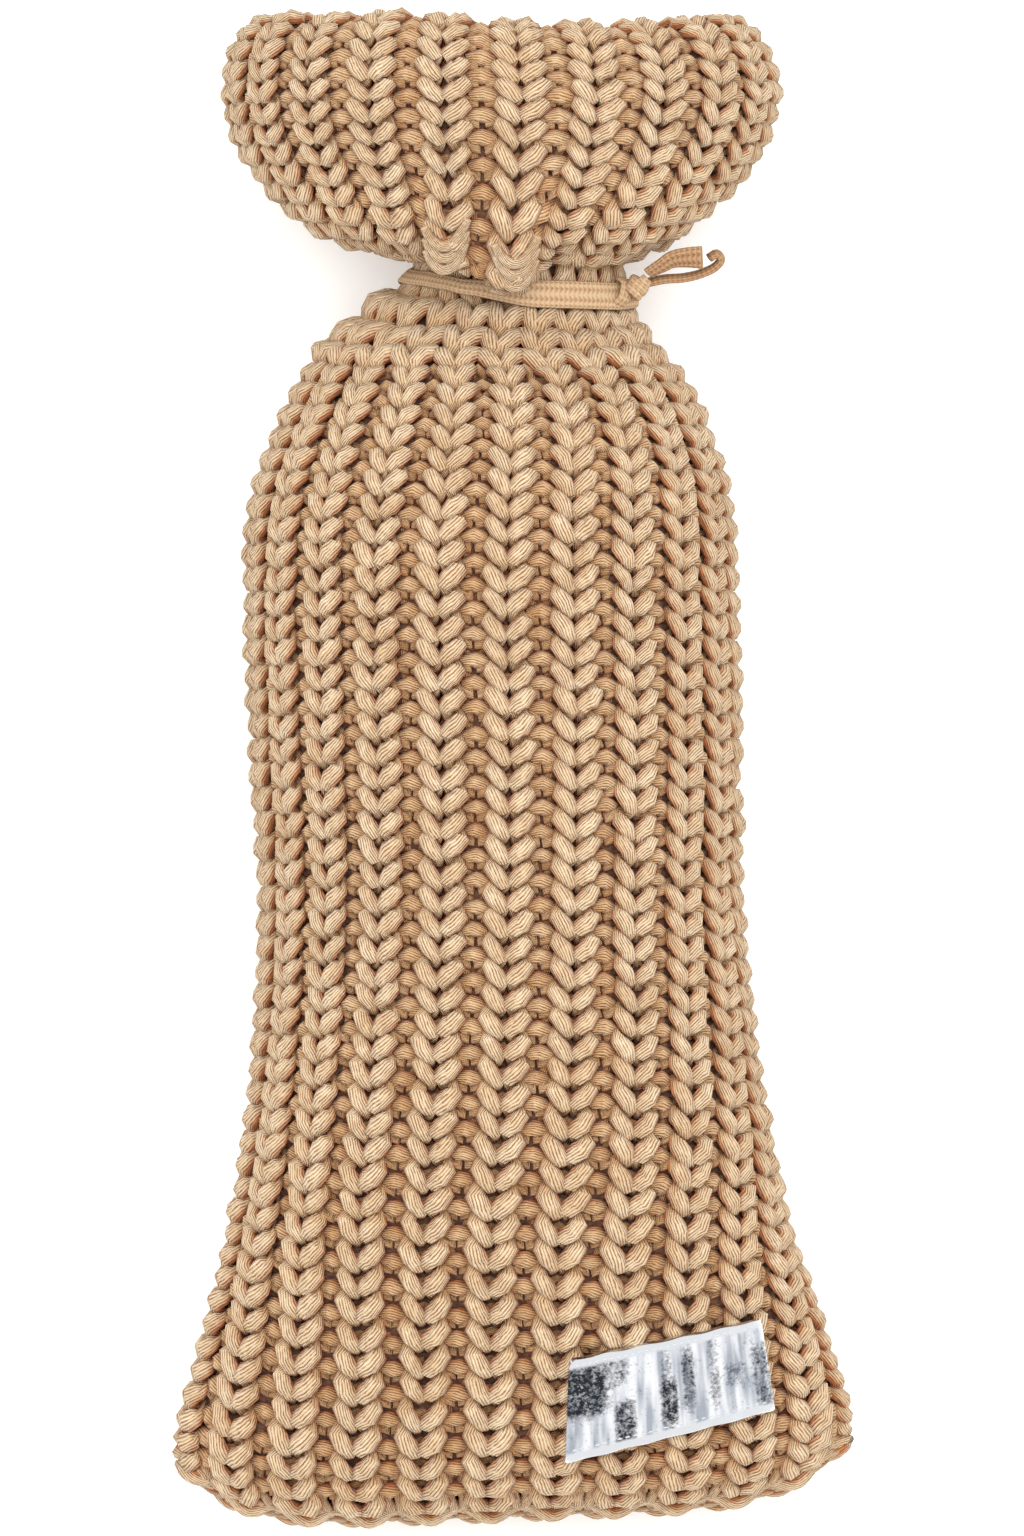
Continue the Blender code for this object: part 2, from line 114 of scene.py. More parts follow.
# On the gathered neck each knit loop fills its rib and each purl loop sinks into the fold.
NECK_SPREAD, NECK_SINK = 1.55, 1.8
RIB_ROOM, NECK_ROOM = 13.0, 7.6  # rib widths in mm under which the yarn is squeezed thinner
THINNEST, FATTEST = 0.6, 1.12  # shares of its thickness that a narrow and a wide rib leave it
FULL_COURSE = 5.4  # height in mm of a course whose yarn is as thick as the loops' tables say
LEAST_TALL, MOST_TALL = 0.92, 1.15  # shares of its thickness that a low and a tall course leave it
# Chance moves each stitch, and each of its points, by about this much: across in mm, up in
# courses, height in mm and share of the mean radius.
STITCH_CHANCE = (0.16, 0.035, 0.18, 0.055)
POINT_CHANCE = (0.07, 0.015, 0.08, 0.03)
BASE_DEPTH = (0, 5, 16), (1.5, 2.6, 6.0)  # mm along the skin, and how far in the yarn may lie there
YARN_SIDES = 6
YARN_FLAT = 0.82  # how thick the yarn is for its width
CAP_UV = 1 / 16  # where the cut ends read their pattern, between two rows of stitches
TABLE_GAP = 0.02  # mm that the yarn stays over the table
# The knit's ground: how far it lies under the skin, its thickness and how far it stops short of
# the turned-in edge in mm, its lines along the skin and the degrees between their points.
GROUND_DEPTH, GROUND_THICK, GROUND_END = 4.8, 0.8, 2.0
GROUND_LINES, GROUND_STEP = 150, 3.0

# The cast-on edge: its way along the skin and how deep it lies in the knit in mm, and its yarn's
# radius, each with the half swing of its bumps.
EDGE_WAY, EDGE_DEPTH, EDGE_YARN = (1.3, 1.1), (1.1, 0.9), (1.6, 0.3)
# The seam at the base: the front's turns in degrees that it runs over, what a turn of the front
# and the one of the back that it is sewn to add up to, and sizes in mm.
SEAM_TURNS, SEAM_SUM, SEAM_POINTS = (-81, 93), 192, 520
SEAM_INSET, SEAM_PITCH = 1.6, 3.9  # how far in it lies, and the way between two of its stitches
SEAM_GAP = 0.6  # the least half gap between the front's edge and the back's
FILLING_WIDE, FILLING_OVERLAP = 1.3, 0.4  # its half width, and how far past the gap it goes
# The sewn yarn: how far it lies out from the filling, how much less than the half gap it swings,
# and its half width and thickness.
SEWN_OUT, SEWN_SHORT, SEWN_WIDE, SEWN_THICK = 0.9, 1.0, 1.25, 1.1

# Height of a course in mm, by how far along the cover its front lies.
COURSE_HEIGHTS = (
    (0, 6.0), (60, 6.0), (110, 5.4), (240, 5.4), (252, 6.0), (256, 7.4), (274, 7.4), (280, 6.4),
    (290, 5.2), (300, 4.84), (333, 4.84),
)
FIRST_COURSE, LAST_ROOM = 1.5, 7.5  # mm along the skin before the first course and after the last
PLAIN_NECK = (253.0, 277.0)  # where the courses are gathered, so that only knit loops show
PIECE_COURSES = 12  # joined into one piece

# The two front ribs over the tape: where they are in degrees and where the lean starts, how many
# degrees the left one leans away at the sections from the neck's middle on, the share at each
# section of how far they move up the cover, that way in mm, and how many degrees it reaches.
LEFT_RIB, RIGHT_RIB, LEAN_START = -16.4, 0.0, -95.0
LEAN = (18, (0, 20, 26, 15, 7, 3, 0))
HANG = (19, (0, 0.6, 1, 1, 0.5, 0))
LEFT_HANG, RIGHT_HANG, RIB_REACH = 2.4, -0.6, 9.0
# The collar's top dips by a few mm: shares at its sections, depth, middle and half width as x.
TOP_DIP = (26, (0, 0.6, 1, 1, 1, 0.6, 0))
DIP_DEPTH, DIP_MIDDLE, DIP_REACH = 2.0, 14.0, 25.0
# The last strands of the two front ribs: the middle of the lowest one as x, along and z, half its
# width, the share by which each next one is wider, and how many there are.
FOLDS = ((0.8, 271.9, 76.2), (-14.6, 275.7, 75.8))
FOLD_REACH, FOLD_WIDER, FOLD_STRANDS = 4.3, 0.05, 3
# How far up each next one lies, how far its sides rise, to which power, how far left of its middle
# it is lowest, as a share of its half width, and how much z rises for each mm along.
FOLD_STEP, FOLD_RISE, FOLD_POWER, FOLD_SHIFT, FOLD_SLOPE = 2.5, 4.8, 2.2, 0.08, 0.75
FOLD_YARN = 1.42, 0.5  # its radius in mm at the middle, and how much less it is at the ends

NECK_SECTIONS = 16, 21  # of the skin, between which the tape lies
TAPE_STEP = 2.5  # degrees between its points
TAPE_THICK, TAPE_CLEAR = 1.4, 0.55
TAPE_SPREAD = 1.08  # its soft edges are this much wider than the places where it is seated
TWISTED_WIDTH, TWIST_THICKER = 5.0, 0.2  # under this width in mm it is up to a fifth thicker
TAPE_LINE = (  # how far along the cover it lies, by angle from the front
    (-180, 273.0), (-135, 274.5), (-90, 275.6), (-60, 274.3), (-30, 271.6), (0, 270.4),
    (30, 270.3), (60, 270.0), (90, 270.8), (135, 272.0), (180, 273.0),
)
TAPE_WIDTHS = (  # narrow where the tape is twisted at the left
    (-180, 5.2), (-120, 5.0), (-90, 4.0), (-60, 3.7), (-38, 3.3), (-24, 3.7), (8, 5.7),
    (180, 5.4),
)
# Where the tape sinks into the soft knit at the left: depth in mm, middle and half width in degrees.
TIGHT_LEFT = (2.0, -90.0, 45.0)
# Its part under the two front ribs: middle and half width in degrees, and how far in mm it arches.
HIDDEN_TAPE = (-9.0, 15.0, 1.0)
# The knot: its angle round the neck, its size and how far it lies up from the band's middle, the
# way of its long axis and how far it is off the band, its half length, its radius, how much less
# that is at the ends, its turns, and the width and thickness of the rolled tape that is wound.
KNOT_ANGLE, KNOT_SIZE, KNOT_SHIFT = 65.0, (5.0, 6.0, 5.4), 1.6
KNOT_AXIS, KNOT_SEAT = (0.55, 0.80, 0.0), 0.3
KNOT_REACH, KNOT_RADIUS, KNOT_TAPER, KNOT_TURNS = 1.9, 1.95, 0.55, 2.6
ROLLED_TAPE = 2.3, 1.35
# The flat turn of the tape over the band, left of the knot: its angle, half length, how far up and
# out its middle lies, how far its ends bend in, and its width and thickness.
WRAP_ANGLE, WRAP_REACH, WRAP_UP, WRAP_OUT, WRAP_BEND = 60.0, 2.9, 0.9, 2.0, 2.2
WRAPPED_TAPE = 3.8, 1.1
UPPER_END = (
    (29.8, 275.2, 54.8), (32.7, 276.8, 55.6), (35.0, 278.1, 56.2), (38.3, 278.6, 56.8),
    (41.7, 278.6, 57.2),
)
END_TWISTS, END_WIDTHS = (62.0, 28.0), (4.4, 5.6)  # from the knot to the tip, in degrees and mm
CURLED_WIDTH, CURLED_THICKER = 4.6, 1.25
LOWER_END = (
    (29.9, 273.3, 49.3), (33.5, 274.0, 49.2), (37.6, 274.3, 49.2), (41.7, 275.3, 49.5),
    (44.9, 277.0, 49.9), (45.9, 278.4, 50.2), (45.0, 279.5, 50.4), (43.2, 278.6, 50.6),
)
LABEL_CORNERS = np.array((((11.7, 14.2), (57.3, 25.7)), ((12.3, 37.0), (53.9, 45.6))))
LABEL_PLAN = np.array((46.0, 21.0))  # its size in mm seen from above, which its pattern is laid on
LABEL_GRID = 120, 60
LABEL_THICK, LABEL_CLEAR, LABEL_EDGE = 1.1, 0.35, 0.25
LABEL_WAVES = 0.17, 0.10
SEAT_GRID, SEAT_POINTS = (19, 10), 12  # where the knit under it is levelled, over how many points
SEAT_SECTION, SEAT_LINES, SEAT_TURNS = 6, 160, (-10, 90)  # the part of the skin that it lies over
THREAD_INSET = 0.085  # share of the label's height from its edge to the row of sewing
# Each row's stitches: first and last start and length as shares of the label's width, their
# number and points, and in mm how high they arch, how deep they start and the thread's radius.
STITCH_STARTS, STITCH_LENGTH, STITCHES, STITCH_POINTS = (0.03, 0.95), 0.024, 26, 7
STITCH_ARCH, STITCH_SUNK, THREAD_RADIUS = 0.34, 0.2, 0.24
# Where dark reflections are painted on the foil: middle and half size as shares across and up the label, and
# how dark each is.
DARK_REFLECTIONS = (
    (0.08, 0.66, 0.12, 0.26, 1.0), (0.21, 0.78, 0.09, 0.14, 0.7), (0.29, 0.24, 0.05, 0.24, 0.9),
    (0.505, 0.36, 0.04, 0.26, 0.9), (0.50, 0.72, 0.025, 0.20, 0.5), (0.61, 0.56, 0.03, 0.32, 0.7),
    (0.735, 0.55, 0.025, 0.36, 0.5), (0.845, 0.48, 0.06, 0.12, 0.45), (0.965, 0.40, 0.04, 0.36, 0.6),
)

chance = np.random.default_rng(7)


# ---------------------------------------------------------------- the skin that all lies on
def column(name):
    return np.array([row[COLUMNS.index(name)] for row in SECTIONS], float)


def smooth(knots, values, at):
    """A cubic through the values, with each slope taken from its two neighbours."""
    slopes = np.gradient(values, knots, axis=0)
    i = np.clip(np.searchsorted(knots, at, side="right") - 1, 0, len(knots) - 2)
    span = knots[i + 1] - knots[i]
    t = (at - knots[i]) / span
    if values.ndim > 1:
        t, span = t[:, None], span[:, None]
    return (
        (2 * t**3 - 3 * t**2 + 1) * values[i]
        + (t**3 - 2 * t**2 + t) * span * slopes[i]
        + (3 * t**2 - 2 * t**3) * values[i + 1]
        + (t**3 - t**2) * span * slopes[i + 1]
    )


def path_knots():
    """How far each section lies along the skin, as the mean of the front's and the side's way."""
    half = (column("right") - column("left")) / 2
    front = np.hypot(np.diff(column("front")), np.diff(column("high")))
    side = np.hypot(np.diff(column("side")), np.diff(half))
    return np.concatenate([[0], np.cumsum((front + side) / 2)])


def skin_line(at, turns):
    """One section: x is half its width times the sine of the angle, z its middle plus half its
    height times the cosine, not under the table, and y goes from the side's value to the front's
    or back's by 1 less the sixth power of the sine, less the slant times the sine, plus the sag
    times a flat-topped bell. The angle shares out the section's length, or is even."""
    steps = np.radians(np.arange(-180, 181))
    tall = (at["high"] - at["low"] + at["sink"]) / 2
    centre = at["high"] - tall
    half, middle = (at["right"] - at["left"]) / 2, (at["right"] + at["left"]) / 2
    x, z = half * np.sin(steps), np.maximum(centre + tall * np.cos(steps), at["low"])
    length = np.concatenate([[0], np.cumsum(np.hypot(np.diff(x), np.diff(z)))])
    turned = (turns + at["turn"] + 180) % 360 - 180
    shared = np.interp((turned + 180) / 360, length / length[-1], steps)
    angle = (1 - at["even"]) * shared + at["even"] * np.radians(turned)
    square = 1 - np.abs(np.sin(angle)) ** SEAM_CORNER
    lead = np.where(np.cos(angle) > 0, at["front"], at["back"]) - at["side"]
    sag = at["sag"] * np.exp(-(((turned - SAG_MIDDLE) / SAG_REACH) ** 4))
    return np.stack([
        middle + half * np.sin(angle),
        at["side"] + lead * square - at["slant"] * np.sin(angle) + sag,
        np.maximum(centre + tall * np.cos(angle), at["low"]),
    ], axis=1)


def knit_skin():
    """The whole skin as a grid of lines by degrees: point, outward normal, way along, way round."""
    knots = path_knots()
    ways = np.linspace(0, knots[-1], SKIN_LINES)
    rows = {name: smooth(knots, column(name), ways) for name in COLUMNS}
    rows["low"] = np.maximum(rows["low"], 0)
    turns = np.arange(-180, 180, 1.0)
    points = np.stack([
        skin_line({name: values[i] for name, values in rows.items()}, turns)
        for i in range(SKIN_LINES)
    ])
    along = np.gradient(points, ways, axis=0)
    round_ = np.roll(points, -1, axis=1) - np.roll(points, 1, axis=1)
    normal = np.cross(round_, along)
    normal /= np.linalg.norm(normal, axis=2, keepdims=True)
    return ways, np.concatenate([points, normal, round_ / 2], axis=2), rows["front"]


WAYS, SKIN, FRONTS = knit_skin()


def on_skin(way, turn):
    """Reads the skin's grid between its four nearest points: point, normal, step per degree."""
    at = np.clip(way / WAYS[-1] * (SKIN_LINES - 1), 0, SKIN_LINES - 1.001)
    i = at.astype(int)
    s = (at - i)[..., None]
    round_at = (turn + 180) % 360
    j = round_at.astype(int) % 360
    t = (round_at - np.floor(round_at))[..., None]
    k = (j + 1) % 360
    low = SKIN[i, j] * (1 - t) + SKIN[i, k] * t
    high = SKIN[i + 1, j] * (1 - t) + SKIN[i + 1, k] * t
    read = low * (1 - s) + high * s
    return read[..., :3], read[..., 3:6], read[..., 6:]


# ---------------------------------------------------------------- meshes
def to_metres(points):
    return (np.asarray(points, float) - (0, LENGTH / 2, 0)) / 1000


def unit(vectors):
    return vectors / np.linalg.norm(vectors, axis=-1, keepdims=True)


def grid_faces(rows, columns, round_rows=False, round_columns=False):
    """Quads of a grid of points that may close on itself either way."""
    i = np.arange(rows if round_rows else rows - 1)[:, None]
    j = np.arange(columns if round_columns else columns - 1)[None, :]
    k, m = (i + 1) % rows, (j + 1) % columns
    corners = (i * columns + j, k * columns + j, k * columns + m, i * columns + m)
    return np.stack([np.broadcast_to(c, (i.size, j.size)) for c in corners], axis=2).reshape(-1, 4)


def make(name, points, faces, material, uv=None, caps=(), replaces=()):
    """Puts points in millimetres, quads and end caps into a smooth mesh that rides on the cover."""
    mesh = bpy.data.meshes.new(name)
    mesh.from_pydata(to_metres(points).tolist(), [], faces.tolist() + [list(cap) for cap in caps])
    if uv is not None:
        corners = np.concatenate([uv.reshape(-1, 2), np.full((sum(map(len, caps)), 2), CAP_UV)])
        layer = mesh.uv_layers.new(name="along_and_round")
        layer.data.foreach_set("uv", corners.astype(np.float32).ravel())
    mesh.polygons.foreach_set("use_smooth", np.ones(len(mesh.polygons), bool))
    mesh.update()
    mesh.materials.append(material)
    made = bpy.data.objects.new(name, mesh)
    bpy.context.scene.collection.objects.link(made)
    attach(made, "root")
    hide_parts(*replaces)
    return made


def oval(sides, power=1.0):
    """A ring of points on a circle of radius 1, squarer as the power falls under 1."""
    turn = np.linspace(0, 2 * np.pi, sides, endpoint=False)
    ring = np.stack([np.cos(turn), np.sin(turn)], axis=1)
    return np.sign(ring) * np.abs(ring) ** power


def tubes(lines, up, wide, thick, ring, closed):
    """A section carried along each line (tube, point, xyz): the ring's first number goes across
    the line times wide, its second along the direction up times thick. Returns the points, quads,
    uv with u the length in mm and v the turns round the ring, and the caps of open ends."""
    if closed:
        ahead = np.roll(lines, -1, axis=1) - np.roll(lines, 1, axis=1)
        steps = np.linalg.norm(np.roll(lines, -1, axis=1) - lines, axis=2)
    else:
        ahead = np.gradient(lines, axis=1)
        steps = np.linalg.norm(np.diff(lines, axis=1, append=lines[:, -1:]), axis=2)
    across = unit(np.cross(ahead, up))
    lift = unit(np.cross(across, ahead))
    sides = len(ring)
    rings = (
        lines[:, :, None]
        + across[:, :, None] * wide[..., None, None] * ring[:, :1]
        + lift[:, :, None] * thick[..., None, None] * ring[:, 1:]
    )
    count, length = lines.shape[:2]
    first = np.arange(count)[:, None] * length * sides
    faces = (grid_faces(length, sides, closed, True)[None] + first[..., None]).reshape(-1, 4)
    spans = length if closed else length - 1
    u = (np.cumsum(steps, axis=1) - steps)[:, :spans, None]
    after = u + steps[:, :spans, None]
    v = np.arange(sides) / sides
    corners = ((u, v), (after, v), (after, v + 1 / sides), (u, v + 1 / sides))
    uv = np.stack([np.stack(np.broadcast_arrays(a, b), axis=-1) for a, b in corners], axis=3)
    start = first + np.arange(sides)
    caps = () if closed else (*start.tolist(), *(start + (length - 1) * sides)[:, ::-1].tolist())
    return rings.reshape(-1, 3), faces, uv, caps


# ---------------------------------------------------------------- the knitting
KNOTS = path_knots()


def course_ways():
    """Where each course starts along the skin, from its height at that place."""
    table = np.array(COURSE_HEIGHTS, float)
    ways, way = [], FIRST_COURSE
    while way < WAYS[-1] - LAST_ROOM:
        ways.append(way)
        front = np.interp(way, WAYS, FRONTS)
        way += np.interp(front, table[:, 0], table[:, 1])
    return np.array(ways)


def at_sections(table, way):
    """Reads a short table that starts at a numbered section of the skin, and is 0 outside it."""
    first, values = table
    return np.interp(way, KNOTS[first : first + len(values)], values)


def hung(way, turn):
    """The two front ribs over the tape: the left one leans away by the lean times a ramp from the
    middle, and each hangs lower or higher by a flat-topped bell round it."""
    lean = at_sections(LEAN, way) * np.interp(turn, (LEAN_START, LEFT_RIB, RIGHT_RIB), (0, -1, 0))
    reach = at_sections(HANG, way)
    left, right = (np.exp(-(((turn - at) / RIB_REACH) ** 4)) for at in (LEFT_RIB, RIGHT_RIB))
    return turn + lean, reach * (LEFT_HANG * left + RIGHT_HANG * right)


def dipped(points, way):
    """Lowers the collar's top by a flat-topped bell across it."""
    bell = np.exp(-(((points[..., 0] - DIP_MIDDLE) / DIP_REACH) ** 4))
    points[..., 1] -= DIP_DEPTH * at_sections(TOP_DIP, way) * bell


def knitted_courses(ways):
    """Every course as one closed line of 44 loops, laid on the skin. A loop's points come from
    the knit or the purl loop, each moved a little by chance. A point lies at the course's way plus
    its share of the course's height, at the stitch's place round the cover plus its share of a
    rib, and over the skin by its height. Returns the lines, the ways out from the skin, the
    yarn's radius and its height over the skin."""
    count = len(ways)
    rib = np.stack([KNIT_LOOP, PURL_LOOP] * RIBS)
    gathered = rib.copy()
    gathered[::2, 1:, 0] *= NECK_SPREAD
    gathered[1::2, 1:, 2] -= NECK_SINK
    front = np.interp(ways, WAYS, FRONTS)
    outside = ways < WAYS[int(np.argmax(FRONTS))]
    on_neck = (front > PLAIN_NECK[0]) & (front < PLAIN_NECK[1]) & outside
    keys = np.where(on_neck[:, None, None, None], gathered[None], rib[None])
    moved = chance.normal(0, 1, (count, 2 * RIBS, 1, 4)) * STITCH_CHANCE
    moved = moved + chance.normal(0, 1, keys.shape) * POINT_CHANCE
    moved[:, :, 0] = 0
    keys = keys + moved * (1, 1, 1, keys[..., 3:].mean())
    middles = (np.arange(2 * RIBS) - RIBS) * 180 / RIBS
    turn = middles[:, None] + keys[..., 0] / RIB_WIDTH * 360 / RIBS
    last = ways[-1] - ways[-2]
    known = np.concatenate([[2 * ways[0] - ways[1]], ways, ways[-1] + last * np.array((1, 2))])
    way = np.interp(np.arange(count)[:, None, None] + keys[..., 1], np.arange(-1, count + 2), known)
    way = np.clip(way, 0, WAYS[-1]).reshape(count, -1)
    turn, lower = hung(way, turn.reshape(count, -1))
    point, normal, step = on_skin(way, turn)
    room = np.where(on_neck, NECK_ROOM, RIB_ROOM)[:, None]
    wide = np.linalg.norm(step, axis=2) * 360 / RIBS
    squeezed = np.clip(wide / room, THINNEST, 1) * np.clip(wide / RIB_WIDTH, 1, FATTEST)
    tall = np.clip(np.gradient(ways) / FULL_COURSE, LEAST_TALL, MOST_TALL)[:, None]
    height = np.maximum(keys[..., 2].reshape(count, -1) * tall, -np.interp(way, *BASE_DEPTH))
    lines = point + normal * height[..., None]
    lines[..., 1] += lower
    dipped(lines, way)
    return lines, normal, keys[..., 3].reshape(count, -1) * squeezed * tall, height


def knit(material):
    """The courses, a dozen to a piece: each yarn is a hexagon, flatter than wide, and keeps its height over
    the skin, from which the yarn's material paints the deeper yarn darker as shade."""
    lines, up, radius, height = knitted_courses(course_ways())
    pieces = []
    for first in range(0, len(lines), PIECE_COURSES):
        some = slice(first, first + PIECE_COURSES)
        points, faces, uv, _ = tubes(
            lines[some], up[some], radius[some], radius[some] * YARN_FLAT, oval(YARN_SIDES), True
        )
        points[:, 2] = np.maximum(points[:, 2], TABLE_GAP)
        made = make(
            f"knit_courses_{first // PIECE_COURSES + 1}", points, faces, material,
            uv, replaces=["knit_cover"],
        )
        over_skin = np.repeat(height[some].ravel(), YARN_SIDES)
        made.data.attributes.new("over_skin", "FLOAT", "POINT").data.foreach_set(
            "value", over_skin.astype(np.float32)
        )
        pieces.append(made)
    return pieces


def hanging_folds(material):
    """The strands that round off the two front ribs where they hang over the tape, each a U whose
    sides rise by the 2.2nd power of the way from a little left of its middle. Each next one lies
    2.5 mm farther up and is a little wider, and all thin out to their ends by the fourth power."""
    t, lines = np.linspace(-1, 1, 25), []
    for x, along, z in FOLDS:
        for k in range(FOLD_STRANDS):
            rise = FOLD_STEP * k + FOLD_RISE * np.abs(t + FOLD_SHIFT) ** FOLD_POWER
            across = x + FOLD_REACH * (1 + FOLD_WIDER * k) * t
            lines.append(np.stack([across, along + rise, z + FOLD_SLOPE * rise], axis=1))
    lines = np.array(lines)
    up = np.tile((0.0, -0.5, 1.0), (*lines.shape[:2], 1))
    radius = np.broadcast_to(FOLD_YARN[0] - FOLD_YARN[1] * t**4, lines.shape[:2])
    points, faces, uv, caps = tubes(lines, up, radius, radius * YARN_FLAT, oval(8), False)
    return make("hanging_rib_folds", points, faces, material, uv, caps,
                ["knit_cover"])


def ground(material):
    """The knit's closed ground behind the loops, a sheet that stands for their backs and carries the painted
    shade seen down the gaps: the skin moved in along its normal.
    """
    ways, turns = np.linspace(0, WAYS[-1] - GROUND_END, GROUND_LINES), np.arange(-180, 180, GROUND_STEP)
    way, turn = np.meshgrid(ways, turns, indexing="ij")
    turned, lower = hung(way, turn)
    point, normal, _ = on_skin(way, turned)
    sheet = point - normal * GROUND_DEPTH
    sheet[..., 1] += lower
    dipped(sheet, way)
    faces = grid_faces(*way.shape, False, True)[:, ::-1]
    made = make("knit_ground", sheet.reshape(-1, 3), faces, material,
                replaces=["knit_cover"])
    shell = made.modifiers.new("thickness", "SOLIDIFY")
    shell.thickness = GROUND_THICK / 1000
    shell.offset = 0
    return made


def cast_on_edge(material):
    """The yarn that the base is cast on: it hangs in one soft bump under each rib, moved down and
    out and made thicker by the cosine of 22 times the angle."""
    turn = np.linspace(-180, 180, RIBS * 16, endpoint=False)
    bump = np.cos(np.radians(turn * RIBS))
    point, normal, _ = on_skin(EDGE_WAY[0] - EDGE_WAY[1] * bump, turn)
    line = point - normal * (EDGE_DEPTH[0] - EDGE_DEPTH[1] * bump)[:, None]
    radius = (EDGE_YARN[0] + EDGE_YARN[1] * bump)[None]
    points, faces, uv, _ = tubes(line[None], normal[None], radius, radius * 0.9, oval(8), True)
    return make("cast_on_edge", points, faces, material, uv,
                replaces=["knit_cover"])


def base_seam(material):
    """The seam that sews the base shut: a flat filling halfway between the front's edge and the
    back's, a little thicker than the gap between them, and a yarn sewn to and fro over it, up and
    down by the sine of the way across."""
    turn = np.linspace(*SEAM_TURNS, SEAM_POINTS)
    at_edge = np.full(SEAM_POINTS, EDGE_WAY[0])
    front, back = (on_skin(at_edge, side)[0] for side in (turn, SEAM_SUM - turn))
    middle = (front + back) / 2 + (0, SEAM_INSET, 0)
    gap = np.clip((front - back)[:, 2] / 2, SEAM_GAP, None)
    sewn = middle.copy()
    sewn[:, 1] -= SEWN_OUT
    sewn[:, 2] += (gap - SEWN_SHORT).clip(0) * np.sin(2 * np.pi * middle[:, 0] / SEAM_PITCH)
    pieces = []
    for name, line, up, wide, thick in (
        ("base_seam_filling", middle, (0.0, 0.0, 1.0), FILLING_WIDE, gap + FILLING_OVERLAP),
        ("base_seam_yarn", sewn, (0.0, -1.0, 0.0), SEWN_WIDE, SEWN_THICK),
    ):
        up = np.tile(up, (1, SEAM_POINTS, 1))
        wide, thick = (np.broadcast_to(size, (1, SEAM_POINTS)) for size in (wide, thick))
        points, faces, uv, caps = tubes(line[None], up, wide, thick, oval(8), False)
        pieces.append(make(name, points, faces, material, uv, caps, ["knit_cover"]))
    return pieces


# ---------------------------------------------------------------- the tape and the label
def tape_route():
    """The tape's middle line round the neck, its width and the ways out from it and across it,
    where both its edges are seated on the skin. Under the two front ribs each edge goes straight
    on, plus an arch of 1 less the square of the way from its middle."""
    angles = np.arange(-180, 180, TAPE_STEP)
    along, wide = (np.interp(angles, *np.array(table, float).T) for table in (TAPE_LINE, TAPE_WIDTHS))
    ways = np.linspace(*KNOTS[list(NECK_SECTIONS)], 120)
    way, turn = np.meshgrid(ways, angles, indexing="ij")
    grid = on_skin(way, turn)[0].transpose(1, 0, 2)
    low, high = (
        np.array([[np.interp(at, line[:, 1], line[:, k]) for k in range(3)]
                  for at, line in zip(along + side * wide / 2, grid)])
        for side in (-1, 1)
    )
    at, reach, arch = HIDDEN_TAPE
    hidden = np.abs(angles - at) < reach
    for edge in (low, high):
        for k in range(3):
            edge[hidden, k] = np.interp(angles[hidden], angles[~hidden], edge[~hidden, k])
        edge[hidden, 2] += arch * (1 - ((angles[hidden] - at) / reach) ** 2)
    middle, up = (low + high) / 2, high - low
    out = unit(np.cross(np.roll(middle, -1, axis=0) - np.roll(middle, 1, axis=0), up))
    depth, at, reach = TIGHT_LEFT
    sunk = depth * np.exp(-(((angles - at) / reach) ** 4))[:, None]
    return angles, middle + out * (TAPE_CLEAR + TAPE_THICK / 2 - sunk), wide, out, unit(up)


def tape_band(name, line, out, wide, thick, material, node, closed=False):
    """A flat knitted tape with soft edges carried along its middle line."""
    line, out = np.asarray(line)[None], np.asarray(out)[None]
    wide, thick = (np.broadcast_to(size, line.shape[:2]) / 2 for size in (wide, thick))
    points, faces, uv, caps = tubes(line, out, wide, thick, oval(16, 0.75), closed)
    return make(name, points, faces, material, uv, caps, [node])


def neck_tape(material):
    """The tape round the neck, thicker by up to a fifth as its width falls by 2 mm."""
    _, middle, wide, out, _ = tape_route()
    thick = TAPE_THICK * (1 + TWIST_THICKER * np.clip((TWISTED_WIDTH - wide) / 2, 0, 1))
    tape_band("tied_tape", middle, out, wide * TAPE_SPREAD, thick, material, "neck_tape", True)


def tight_knot(material):
    """The knot: the tape, rolled narrow, wound 2.6 times round an egg whose long way runs from
    lower left to upper right, its radius less by the square of the way from its middle, and one
    flat turn over the band beside it, whose ends bend in by the fourth power of that way."""
    angles, middle, _, out, up = tape_route()
    at = int(np.argmin(np.abs(angles - KNOT_ANGLE)))
    reach = TAPE_THICK / 2 + KNOT_SEAT + np.linalg.norm(np.array(KNOT_SIZE) / 2 * out[at])
    centre = middle[at] + out[at] * reach + (0, KNOT_SHIFT, 0)
    along = unit(np.array(KNOT_AXIS))
    side = np.array((along[1], -along[0], 0.0))
    share = np.linspace(-1, 1, 70)
    turn = share * KNOT_TURNS * np.pi
    radial = side * np.cos(turn)[:, None] + np.array((0, 0, 1.0)) * np.sin(turn)[:, None]
    radius = (KNOT_RADIUS - KNOT_TAPER * share**2)[:, None]
    line = centre + along * share[:, None] * KNOT_REACH + radial * radius
    tape_band("wound_knot", line, radial, *ROLLED_TAPE, material, "tape_knot")
    at = int(np.argmin(np.abs(angles - WRAP_ANGLE)))
    share = np.linspace(-1, 1, 18)[:, None]
    lift = out[at] * (WRAP_OUT - WRAP_BEND * share**4)
    line = middle[at] + (up[at] + (0.12, 0, 0)) * (share * WRAP_REACH + WRAP_UP) + lift
    tape_band("flat_turn", line, out[at] + up[at] * share**3 * 2.5, *WRAPPED_TAPE, material, "tape_knot")


def smooth_line(points, count):
    """Evenly spaced points on the cubic through a line's points."""
    points = np.array(points, float)
    knots = np.concatenate([[0], np.cumsum(np.linalg.norm(np.diff(points, axis=0), axis=1))])
    return smooth(knots, points, np.linspace(0, knots[-1], count))


